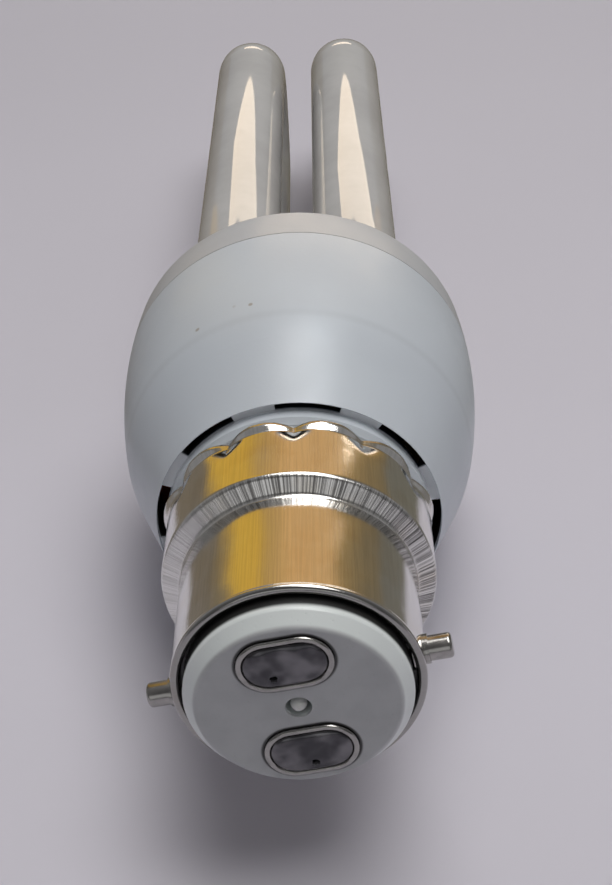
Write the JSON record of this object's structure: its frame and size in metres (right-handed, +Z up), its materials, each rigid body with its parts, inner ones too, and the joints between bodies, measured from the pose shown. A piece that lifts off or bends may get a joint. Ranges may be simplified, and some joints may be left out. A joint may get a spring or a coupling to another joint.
{
  "type": "compact fluorescent lamp",
  "caption": "Compact fluorescent stick lamp with U-bent glass tubes, a white moulded ballast housing and a bayonet cap.",
  "frame": {"origin": "on the ground, under the middle of the lamp's box as it lies", "axes": "+Z up, +Y from the cap towards the tubes' bends, along the lying lamp, +X to the right seen from the cap"},
  "size_m": [0.0382, 0.1364, 0.0385],
  "materials": {
    "plated_metal": "bright plated, drawn along its length",
    "insulator": "smooth satin",
    "contact_metal": "pressed and tinned",
    "solder": "dull, pitted",
    "clear_resin": "clear drop",
    "white_plastic": "moulded, satin",
    "holder_plastic": "moulded, satin",
    "coated_glass": "gloss glass over a white inner coating",
    "cement": "matt",
    "board": "phenolic laminate",
    "ferrite": "sintered",
    "bobbin_plastic": "moulded",
    "copper_winding": "enamelled copper",
    "can_sleeve": "shrink sleeve",
    "film_body": "dipped",
    "black_epoxy": "moulded epoxy",
    "resistor_body": "painted ceramic",
    "diode_glass": "glass case",
    "tinned_wire": "tinned",
    "wire_sleeve": "insulated"
  },
  "bodies": {
    "root": {"cap_shell": "plated_metal", "bayonet_pins": "plated_metal", "base_insulator": "insulator", "contact_plates": "contact_metal", "contact_solder": "solder", "sealing_bead": "clear_resin", "lower_housing": "white_plastic", "tube_holder": "holder_plastic", "discharge_tube": "coated_glass", "tube_cement": "cement", "circuit_board": "board", "solder_joints": "solder", "choke_core": "ferrite", "choke_bobbin": "bobbin_plastic", "choke_winding": "copper_winding", "reservoir_capacitor": "can_sleeve", "transformer_ring": "ferrite", "transformer_coils": "copper_winding", "film_capacitors": "film_body", "transistors": "black_epoxy", "rectifier_diodes": "black_epoxy", "resistors": "resistor_body", "trigger_diode": "diode_glass", "wire_posts": "tinned_wire", "filament_wires": "tinned_wire", "fuse_resistor": "resistor_body", "supply_wires": "wire_sleeve"}
  },
  "joints": []
}
